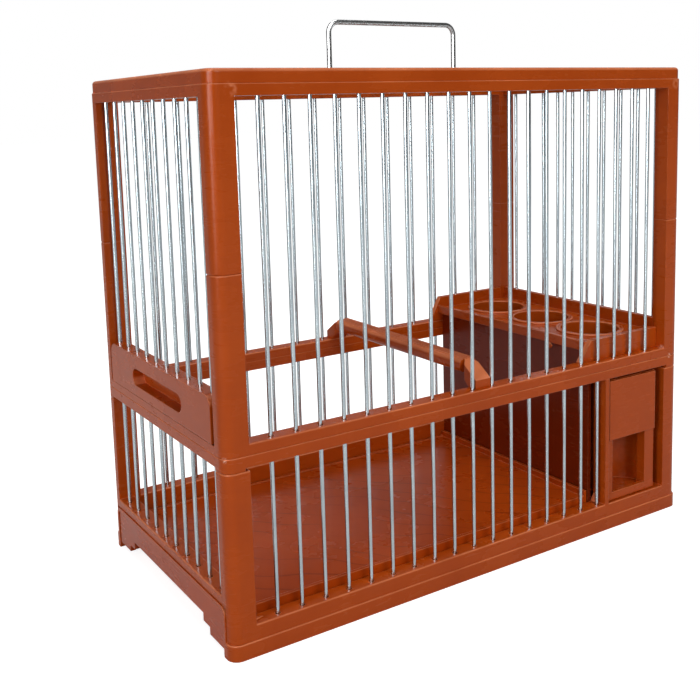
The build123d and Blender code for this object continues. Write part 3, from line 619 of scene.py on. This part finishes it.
@dataclass(frozen=True)
class BrightWire:
    """Bright plated wire of the handle, a little scuffed."""

    name: str = "bright_wire"
    bright: Colour = (0.50, 0.51, 0.51, 1)
    scuffed: Colour = (0.34, 0.35, 0.35, 1)
    patches: Grain = Grain(260.0, 3.0, 0.6)
    scuffed_band: Band = (0.40, 0.68)
    matt_band: Band = (0.42, 0.70)
    scratches: Grain = Grain(1.0, 2.0, 0.6, stretch=(700.0, 1500.0, 700.0), turn=(0.3, 0.4, 0.2))
    scratch_depth: float = 0.00003
    scratch_strength: float = 0.35
    roughness: float = 0.20
    patch_rough: float = 0.16
    scratch_rough: float = 0.08

    def build(self) -> bpy.types.Material:
        """Make the material.

        Returns:
            The finished material.
        """
        bench = MaterialBench(self.name)
        patches, scratches = bench.noise(self.patches), bench.noise(self.scratches)
        colour = bench.mix(patches.above(*self.scuffed_band), self.bright, self.scuffed)
        rough = (self.roughness + patches.above(*self.matt_band) * self.patch_rough
                 + (scratches - NOISE_MIDDLE) * self.scratch_rough)
        normal = bench.bump(scratches, self.scratch_depth, self.scratch_strength)
        return bench.finish({"Metallic": 1.0}, colour, rough, normal)


def linked(name: str, data: bpy.types.ID) -> bpy.types.Object:
    """Make an object and link it to the scene.

    Args:
        name: its name.
        data: its mesh, lamp or camera data.

    Returns:
        The object.
    """
    made = bpy.data.objects.new(name, data)
    bpy.context.scene.collection.objects.link(made)
    return made


class GeometryBench(NodeBench):
    """Builds one Geometry Nodes tree and turns its result into a plain mesh."""

    def __init__(self, name: str) -> None:
        """Start a tree with a geometry output.

        Args:
            name: the tree's name.
        """
        group = bpy.data.node_groups.new(name, "GeometryNodeTree")
        group.interface.new_socket(name="Geometry", in_out="OUTPUT", socket_type="NodeSocketGeometry")
        super().__init__(group)
        self.values: dict[str, object] = {}

    def inputs(self, **sizes: "float | int | Point | bpy.types.Material") -> dict[str, bpy.types.NodeSocket]:
        """Args:
            sizes: a value for each input.

        Returns:
            The input sockets inside the tree, by name.
        """
        kinds = {int: "NodeSocketInt", float: "NodeSocketFloat", tuple: "NodeSocketVector",
                 bpy.types.Material: "NodeSocketMaterial"}
        for name, value in sizes.items():
            socket = self.tree.interface.new_socket(name=name, in_out="INPUT", socket_type=kinds[type(value)])
            self.values[socket.identifier] = value
        ports = self.node("NodeGroupInput").outputs
        return {name: ports[name] for name in sizes}

    def close(self, geometry: bpy.types.NodeSocket, material: bpy.types.NodeSocket) -> None:
        """End the tree in Realize Instances and Set Material.

        Args:
            geometry: what the tree made.
            material: the material that it gets.
        """
        real = self.node("GeometryNodeRealizeInstances", None, {"Geometry": geometry}).outputs[0]
        dressed = self.node("GeometryNodeSetMaterial", None, {"Geometry": real, "Material": material}).outputs[0]
        self.node("NodeGroupOutput", None, {"Geometry": dressed})

    def bake(self, name: str) -> bpy.types.Object:
        """Evaluate the tree and keep its result as a plain mesh.

        Args:
            name: the finished object's name.

        Returns:
            An object at the origin, with its place in its mesh and no modifier.
        """
        holder = linked(name + "_holder", bpy.data.meshes.new(name + "_holder"))
        modifier = holder.modifiers.new("nodes", "NODES")
        modifier.node_group = self.tree
        for identifier, value in self.values.items():
            modifier[identifier] = value
        holder.update_tag()
        graph = bpy.context.evaluated_depsgraph_get()
        graph.update()
        mesh = bpy.data.meshes.new_from_object(holder.evaluated_get(graph), depsgraph=graph)
        mesh.name = name
        bpy.data.objects.remove(holder)
        return linked(name, mesh)


def settle(piece: bpy.types.Object, body: Body, slot: Slot, *replaced: str) -> bpy.types.Object:
    """Attach a finished piece to its body, hide the solids that it stands for, and log it.

    Args:
        piece: the finished object.
        body: the body that it rides on.
        slot: its material slot in the record; not used.
        replaced: the solids that it stands for.

    Returns:
        The piece.
    """
    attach(piece, body.value)
    if replaced:
        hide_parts(*replaced)
    LOG.info("%s rides on %s, %d faces", piece.name, body.value, len(piece.data.polygons))
    return piece


@dataclass
class WireRow:
    """A row of like wires between two rails, set by hand and so not perfectly straight."""

    node: str
    body: Body
    count: int
    first: Point
    step: Point
    rise: Point
    seed: int
    sway: float = 0.00022
    radius: float = WIRE_R
    sides: int = 14
    rings: int = 13
    slot: Slot = Slot.WIRE
    stands_for_node: bool = True
    wander_cells: Point = (95.0, 95.0, 9.0)
    lean_gain: Point = (2.0, 2.0, 0.0)
    belly_gain: float = 4.0

    def build(self, finish: bpy.types.Material) -> bpy.types.Object:
        """Make the row, in place of its solids where it stands for them.

        Args:
            finish: the row's material.

        Returns:
            The finished piece.
        """
        bench = GeometryBench(self.node + "_row")
        size = bench.inputs(Count=self.count, First=self.first, Step=self.step, Rise=self.rise, Radius=self.radius,
                            Sides=self.sides, Rings=self.rings, Sway=self.sway, Seed=float(self.seed), Finish=finish)
        feet = bench.node("GeometryNodeMeshLine", {"mode": "OFFSET"},
                          {"Count": size["Count"], "Start Location": size["First"], "Offset": size["Step"]})
        row = bench.node("GeometryNodeInstanceOnPoints", None,
                         {"Points": feet.outputs[0], "Instance": self._tube(bench, size)})
        real = bench.node("GeometryNodeRealizeInstances", None, {"Geometry": row.outputs[0]}).outputs[0]
        bent = bench.node("GeometryNodeSetPosition", None, {"Geometry": real, "Offset": self._bend(bench, size)})
        smooth = bench.node("GeometryNodeSetShadeSmooth", None, {"Geometry": bent.outputs[0]})
        bench.close(smooth.outputs[0], size["Finish"])
        replaced = (self.node,) if self.stands_for_node else ()
        return settle(bench.bake(self.node + "_set"), self.body, self.slot, *replaced)

    def _tube(self, bench: GeometryBench, size: dict[str, bpy.types.NodeSocket]) -> bpy.types.NodeSocket:
        """One straight wire from the origin.

        Args:
            bench: the row's bench.
            size: the tree's inputs by name.

        Returns:
            The wire's mesh.
        """
        core = bench.node("GeometryNodeCurvePrimitiveLine", None, {"Start": (0, 0, 0), "End": size["Rise"]})
        core = bench.node("GeometryNodeResampleCurve", None, {"Curve": core.outputs[0], "Count": size["Rings"]})
        rim = bench.node("GeometryNodeCurvePrimitiveCircle", None,
                         {"Resolution": size["Sides"], "Radius": size["Radius"]})
        tube = bench.node("GeometryNodeCurveToMesh", None,
                          {"Curve": core.outputs[0], "Profile Curve": rim.outputs[0], "Fill Caps": True})
        return tube.outputs[0]

    def _bend(self, bench: GeometryBench, size: dict[str, bpy.types.NodeSocket]) -> bpy.types.NodeSocket:
        """How far each point leans sideways: most halfway up a wire, and not at all at its ends.

        Args:
            bench: the row's bench.
            size: the tree's inputs by name.

        Returns:
            The offset at a point.
        """
        spot = bench.node("GeometryNodeInputPosition").outputs[0]
        height = bench.vectors("DOT_PRODUCT", bench.vectors("SUBTRACT", spot, size["First"]).outputs[0], size["Rise"])
        whole = bench.vectors("DOT_PRODUCT", size["Rise"], size["Rise"])
        share = bench.value(height, "Value") / bench.value(whole, "Value")
        belly = share * (1.0 - share) * self.belly_gain
        wander = bench.node("ShaderNodeTexNoise", {"noise_dimensions": "4D"},
                            {"Vector": bench.vectors("MULTIPLY", spot, self.wander_cells).outputs[0],
                             "W": size["Seed"], "Scale": 1.0, "Detail": 0.0})
        lean = bench.vectors("SUBTRACT", wander.outputs["Color"], (NOISE_MIDDLE,) * 3).outputs[0]
        lean = bench.vectors("MULTIPLY", lean, self.lean_gain).outputs[0]
        reach = belly * NodeValue(bench.tree, size["Sway"])
        return bench.node("ShaderNodeVectorMath", {"operation": "SCALE"}, {0: lean, "Scale": reach}).outputs[0]


def even(count: int, pitch: float) -> float:
    """Place of the first of a row that is even about zero."""
    return -pitch * (count - 1) / 2


@dataclass
class CageWires:
    """All the standing wires, the roof's wires and the door's wires."""

    front_count: int = 20
    front_lower_count: int = 17
    back_count: int = 14
    back_lower_count: int = 12
    upper_foot: float = MID_TOP - WIRE_SEAT
    upper_head: float = TOP_RAIL_BOTTOM + WIRE_SEAT
    lower_foot: float = BOTTOM_RAIL_TOP - WIRE_SEAT
    lower_head: float = MID_BOTTOM + WIRE_SEAT
    lower_sway: float = 0.00012
    sill_seat: float = 0.0025
    sill_foot: float = SILL_TOP - sill_seat
    door_x: float = -0.101875
    door_foot: float = 0.0805
    door_drop: float = 0.0003
    door_head: float = ROOF_TOP - door_drop
    roof_seat: float = 0.0032
    roof_gap: float = 0.00005
    roof_reach: float = FACE_Y - RAIL + roof_seat - roof_gap

    def rows(self) -> list[WireRow]:
        """List the rows.

        Returns:
            One row for each solid node of wires.
        """
        front, back = even(self.front_count, FRONT_PITCH), even(self.back_count, BACK_PITCH)
        side = even(SIDE_COUNT, SIDE_PITCH)
        along_front, along_back, along_side = (FRONT_PITCH, 0.0, 0.0), (BACK_PITCH, 0.0, 0.0), (0.0, SIDE_PITCH, 0.0)
        upper = (0.0, 0.0, self.upper_head - self.upper_foot)
        lower = (0.0, 0.0, self.lower_head - self.lower_foot)
        short = (0.0, 0.0, self.lower_head - self.sill_foot)
        door = (0.0, 0.0, self.door_head - self.door_foot)
        return [
            WireRow("front_wires_upper", Body.CAGE, self.front_count, (front, -WIRE_Y, self.upper_foot),
                    along_front, upper, seed=3),
            WireRow("front_wires_lower", Body.CAGE, self.front_lower_count, (front, -WIRE_Y, self.lower_foot),
                    along_front, lower, seed=5, sway=self.lower_sway),
            WireRow("back_wires_upper", Body.CAGE, self.back_count, (back, WIRE_Y, self.upper_foot),
                    along_back, upper, seed=7),
            WireRow("back_wires_lower", Body.CAGE, self.back_lower_count, (back, WIRE_Y, self.sill_foot),
                    along_back, short, seed=9, sway=self.lower_sway),
            WireRow("right_wires_upper", Body.CAGE, SIDE_COUNT, (WIRE_X, side, self.upper_foot),
                    along_side, upper, seed=11),
            WireRow("left_wires_lower", Body.CAGE, SIDE_COUNT, (-WIRE_X, side, self.sill_foot),
                    along_side, short, seed=13, sway=self.lower_sway),
            WireRow("side_door_wires", Body.DOOR, SIDE_COUNT, (self.door_x, side, self.door_foot),
                    along_side, door, seed=15, sway=0.0),
            WireRow("roof_wires", Body.CAGE, self.front_count, (front, -self.roof_reach, ROOF_SEAM + WIRE_R),
                    along_front, (0.0, 2 * self.roof_reach, 0.0), seed=17, sway=0.0),
        ]

    def build(self, finish: bpy.types.Material) -> None:
        """Make every row in one finish."""
        for row in self.rows():
            row.build(finish)


@dataclass
class RaisedPad:
    """A small flat pad with a softened rim, standing proud of the face under it."""

    name: str
    outline: list[Point]
    way: Point
    proud: float
    sunk: float = 0.0003
    shoulder: float = 0.6
    crown: float = 0.84

    def build(self, finish: bpy.types.Material) -> bpy.types.Object:
        """Make the pad. Its outline runs anticlockwise, seen from where it stands out to.

        Args:
            finish: its material.

        Returns:
            The finished piece.
        """
        out = Vector(self.way)
        foot = [Vector(point) for point in self.outline]
        middle = sum(foot, Vector()) / len(foot)
        rings = [[p - out * self.sunk for p in foot],
                 [p + out * self.proud * self.shoulder for p in foot],
                 [middle + (p - middle) * self.crown + out * self.proud for p in foot]]
        count = len(foot)
        faces = [tuple(range(2 * count, 3 * count))]
        for start in (0, count):
            for k in range(count):
                after = (k + 1) % count
                faces.append((start + k, start + after, start + count + after, start + count + k))
        mesh = bpy.data.meshes.new(self.name)
        mesh.from_pydata([point[:] for ring in rings for point in ring], [], faces)
        mesh.materials.append(finish)
        mesh.validate()
        return settle(linked(self.name, mesh), Body.CAGE, Slot.PLASTIC)


def oval(centre: Point, half_y: float, half_z: float, count: int) -> list[Point]:
    """An oval across the X axis, anticlockwise seen from -X.

    Args:
        centre: its middle.
        half_y: half its width.
        half_z: half its height.
        count: how many points it has.

    Returns:
        Its points.
    """
    x, y, z = centre
    turns = (math.tau * k / count for k in range(count))
    return [(x, y + half_y * math.cos(turn), z - half_z * math.sin(turn)) for turn in turns]


@dataclass
class MouldedDetails:
    """The corner web on the front rail, the snap clips, the shelf lip's button and the sill's tick marks."""

    web_corners: tuple[tuple[float, float], ...] = ((-0.09790, -0.0480), (-0.09790, -0.0524), (-0.0917, -0.0506))
    web_proud: float = 0.0006
    pad_proud: float = 0.0004
    clips: tuple[tuple[float, float], ...] = ((0.0575, 0.0011), (0.0528, 0.0008), (0.0145, 0.0009))
    clip_y: float = -0.0522
    clip_tallness: float = 1.5
    clip_points: int = 16
    button: Point = (0.055975, -0.0275, 0.0722)
    button_halves: tuple[float, float] = (0.0016, 0.0012)
    button_points: int = 20
    tick_gap: float = 0.0009
    tick_lift: float = 0.00002
    tick_length: float = 0.0017
    tick_radius: float = 0.00012
    tick_sides: int = 8
    tick_rings: int = 3

    def build(self, plastic: bpy.types.Material) -> None:
        """Make and dress the details.

        Args:
            plastic: their material.
        """
        web = [(x, y, BOTTOM_RAIL_TOP) for x, y in self.web_corners]
        RaisedPad("corner_web", web, (0.0, 0.0, 1.0), self.web_proud).build(plastic)
        to_door = (-1.0, 0.0, 0.0)
        for index, (height, reach) in enumerate(self.clips):
            clip = oval((FACE_X - RAIL, self.clip_y, height), reach, self.clip_tallness * reach, self.clip_points)
            RaisedPad(f"post_clip_{index}", clip, to_door, self.pad_proud).build(plastic)
        button = oval(self.button, *self.button_halves, self.button_points)
        RaisedPad("lip_button", button, to_door, self.pad_proud).build(plastic)
        first = (-WIRE_X - self.tick_gap, even(SIDE_COUNT, SIDE_PITCH), SILL_TOP + self.tick_lift)
        WireRow("sill_ticks", Body.CAGE, SIDE_COUNT, first, (0.0, SIDE_PITCH, 0.0), (-self.tick_length, 0.0, 0.0),
                seed=19, sway=0.0, radius=self.tick_radius, sides=self.tick_sides, rings=self.tick_rings,
                slot=Slot.PLASTIC, stands_for_node=False).build(plastic)


@dataclass
class Mouldings:
    """The moulded parts, which keep their solids and take a finish."""

    alike: tuple[str, ...] = ("base_frame", "lower_frame", "middle_ring", "middle_frame", "upper_frame", "roof_frame",
                              "perch", "feeder_shelf", "side_door_bar", "feeder_drawer", "feeder_shutter")
    plain: MouldedPlastic = MouldedPlastic(
        swirls=(GateSwirl((-0.0965, -0.0536, 0.1780)), GateSwirl((0.1000, -0.0536, 0.1778))),
        rubs=(Rub((-0.1036, -0.0522, 0.0658), 0.0012), Rub((0.0950, -0.0522, 0.0698), 0.0016),
              Rub((0.0982, -0.0500, 0.0722), 0.0011), Rub((0.0985, -0.0536, 0.0662), 0.0013),
              Rub((0.1030, -0.0534, 0.0140), 0.0010), Rub((0.0592, -0.0530, 0.0365), 0.0009)))
    # The tray's browns are a little darker and redder than the rest: painted shade of the cage's inside
    lined: MouldedPlastic = MouldedPlastic("tray_brown", (0.390, 0.052, 0.0026, 1), (0.320, 0.038, 0.0018, 1),
                                           flow=FlowLines(0.48))
    # The housing's colour is darkened far below the rest: painted shade of the cage's inside
    housing_painted_shade: MouldedPlastic = MouldedPlastic("housing_brown_painted_shade", (0.170, 0.017, 0.0008, 1), (0.140, 0.013, 0.0006, 1))

    def dress(self, nodes: dict[str, bpy.types.Object]) -> None:
        """Give each moulding its finish: most are alike, the tray has flow lines and is a little darker, the housing
        is darkest; the tray's and the housing's darker colours are painted shade.

        Args:
            nodes: the frame's objects by node name.
        """
        plastic = self.plain.build()
        lined, housing_painted_shade = self.lined.build(), self.housing_painted_shade.build()
        for name in self.alike:
            wear(nodes[name], plastic)
        wear(nodes["tray"], lined)
        wear(nodes["feeder_housing"], housing_painted_shade)
        MouldedDetails().build(plastic)


def wear(node: bpy.types.Object, finish: bpy.types.Material) -> None:
    """Put a finish on a solid's object, in each slot that it has.

    Args:
        node: the solid's object.
        finish: the material.
    """
    if not node.material_slots:
        node.data.materials.append(finish)
    for slot in node.material_slots:
        slot.material = finish
    LOG.info("%s wears %s", node.name, finish.name)


@dataclass
class HandleWire:
    """The bent wire handle, as a merged and smooth copy of its solid."""

    node: str = "handle_bail"
    piece: str = "handle_wire_bent"
    merge: float = 0.000002

    def build(self, nodes: dict[str, bpy.types.Object], finish: bpy.types.Material) -> bpy.types.Object:
        """Make the handle in place of its solid.

        Args:
            nodes: the frame's objects by node name.
            finish: its material.

        Returns:
            The finished piece.
        """
        mesh = nodes[self.node].data.copy()
        mesh.name = self.piece
        work = bmesh.new()
        work.from_mesh(mesh)
        bmesh.ops.remove_doubles(work, verts=work.verts, dist=self.merge)
        for face in work.faces:
            face.smooth = True
        work.to_mesh(mesh)
        work.free()
        mesh.materials.clear()
        mesh.materials.append(finish)
        return settle(linked(self.piece, mesh), Body.HANDLE, Slot.HANDLE, self.node)


@dataclass(frozen=True)
class Lamp:
    """A soft rectangular lamp that faces the cage."""

    name: str
    place: Point
    width: float
    height: float
    watts: float
    aim: Point = (0.0, 0.0, 0.08)

    def build(self) -> None:
        """Make the lamp and turn it to the cage."""
        data = bpy.data.lights.new(self.name, "AREA")
        data.shape = "RECTANGLE"
        data.size, data.size_y = self.width, self.height
        data.energy = self.watts
        made = linked(self.name, data)
        made.location = self.place
        towards = Vector(self.aim) - Vector(self.place)
        made.rotation_euler = towards.to_track_quat("-Z", "Y").to_euler()


@dataclass
class Studio:
    """Pale floor, white surroundings and soft lamps."""

    floor_half: float = 6.0
    floor_level: float = -0.0002
    floor_colour: Colour = (0.60, 0.60, 0.59, 1)
    floor_glow: float = 0.86
    floor_gloss_share: float = 0.38
    surround: float = 0.25
    front_gloss: float = 0.08
    back_gloss: float = 0.30
    behind_band: Band = (-0.15, 0.55)
    strip_way: tuple[float, float] = (-0.830, -0.558)
    strip_band: Band = (0.890, 0.975)
    strip_gloss: float = 13.0
    least_square: float = 0.0001
    lamps: tuple[Lamp, ...] = (
        Lamp("key", (0.02, -1.00, 0.62), 0.55, 0.55, 5.5),
        Lamp("side", (-1.00, -0.45, 0.35), 0.24, 0.80, 4.2),
        Lamp("top", (0.10, 0.25, 1.20), 0.70, 0.50, 6.0),
    )

    def build(self) -> None:
        """Make the floor, the surroundings and the lamps."""
        self.floor()
        self.world()
        for lamp in self.lamps:
            lamp.build()

    def floor(self) -> None:
        """A wide pale floor that shows white to the camera and keeps the cage's shadow."""
        half, level = self.floor_half, self.floor_level
        mesh = bpy.data.meshes.new("studio_floor")
        mesh.from_pydata([(-half, -half, level), (half, -half, level), (half, half, level), (-half, half, level)],
                         [], [(0, 1, 2, 3)])
        material = empty_material("pale_floor")
        bench = NodeBench(material.node_tree)
        rays = bench.node("ShaderNodeLightPath")
        seen = bench.value(rays, "Is Camera Ray") + bench.value(rays, "Is Transmission Ray")
        seen = (seen + bench.value(rays, "Is Glossy Ray") * self.floor_gloss_share).clamped()
        matte = bench.node("ShaderNodeBsdfDiffuse", None, {"Color": self.floor_colour})
        glow = bench.node("ShaderNodeEmission", None, {"Color": WHITE, "Strength": seen * self.floor_glow})
        both = bench.node("ShaderNodeAddShader", None, {0: matte.outputs[0], 1: glow.outputs[0]})
        bench.node("ShaderNodeOutputMaterial", None, {"Surface": both.outputs[0]})
        mesh.materials.append(material)
        linked("studio_floor", mesh)

    def world(self) -> None:
        """White to the camera; in reflections pale behind the cage, dim in front, with a bright strip at the left."""
        world = bpy.data.worlds.new("surround")
        world.use_nodes = True
        world.node_tree.nodes.clear()
        bpy.context.scene.world = world
        bench = NodeBench(world.node_tree)
        rays = bench.node("ShaderNodeLightPath")
        seen = (bench.value(rays, "Is Camera Ray") + bench.value(rays, "Is Transmission Ray")).clamped()
        gloss = bench.value(rays, "Is Glossy Ray")
        way = bench.node("ShaderNodeSeparateXYZ", None, {0: bench.node("ShaderNodeTexCoord").outputs["Generated"]})
        across, deep = bench.value(way, "X"), bench.value(way, "Y")
        behind = deep.above(*self.behind_band)
        turned = across * self.strip_way[0] + deep * self.strip_way[1]
        level_reach = (across * across + deep * deep + self.least_square) ** 0.5
        strip = (turned / level_reach).above(*self.strip_band)
        mirrored = behind * (self.back_gloss - self.front_gloss) + self.front_gloss + strip * self.strip_gloss
        rest = gloss * mirrored + (1.0 - gloss) * self.surround
        sky = bench.node("ShaderNodeBackground", None, {"Color": WHITE, "Strength": seen + (1.0 - seen) * rest})
        bench.node("ShaderNodeOutputWorld", None, {"Surface": sky.outputs[0]})


@dataclass
class View:
    """The camera, at the photograph's viewing angle."""

    eye: Point = (-0.22193, -0.31337, 0.17130)
    aim: Point = (-0.01454, 0.01273, 0.11887)
    roll_degrees: float = -1.5866
    lens: float = 49.779
    sensor: float = 36.0
    shift_y: float = -0.15714
    clip: tuple[float, float] = (0.02, 30.0)

    def build(self) -> None:
        """Make the camera and view the scene through it."""
        data = bpy.data.cameras.new("view")
        data.sensor_width = self.sensor
        data.lens = self.lens
        data.shift_y = self.shift_y
        data.clip_start, data.clip_end = self.clip
        made = linked("view", data)
        towards = (Vector(self.aim) - Vector(self.eye)).to_track_quat("-Z", "Y").to_matrix()
        turned = towards @ Matrix.Rotation(math.radians(self.roll_degrees), 3, "Z")
        made.matrix_world = Matrix.Translation(self.eye) @ turned.to_4x4()
        bpy.context.scene.camera = made
        bpy.context.scene.view_settings.view_transform = "Standard"


def main() -> None:
    """Build and dress the cage, and set the studio and the camera."""
    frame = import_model()
    Mouldings().dress(frame["nodes"])
    HandleWire().build(frame["nodes"], BrightWire().build())
    CageWires().build(GalvanisedWire().build())
    Studio().build()
    View().build()


if __name__ == "__main__":
    main()
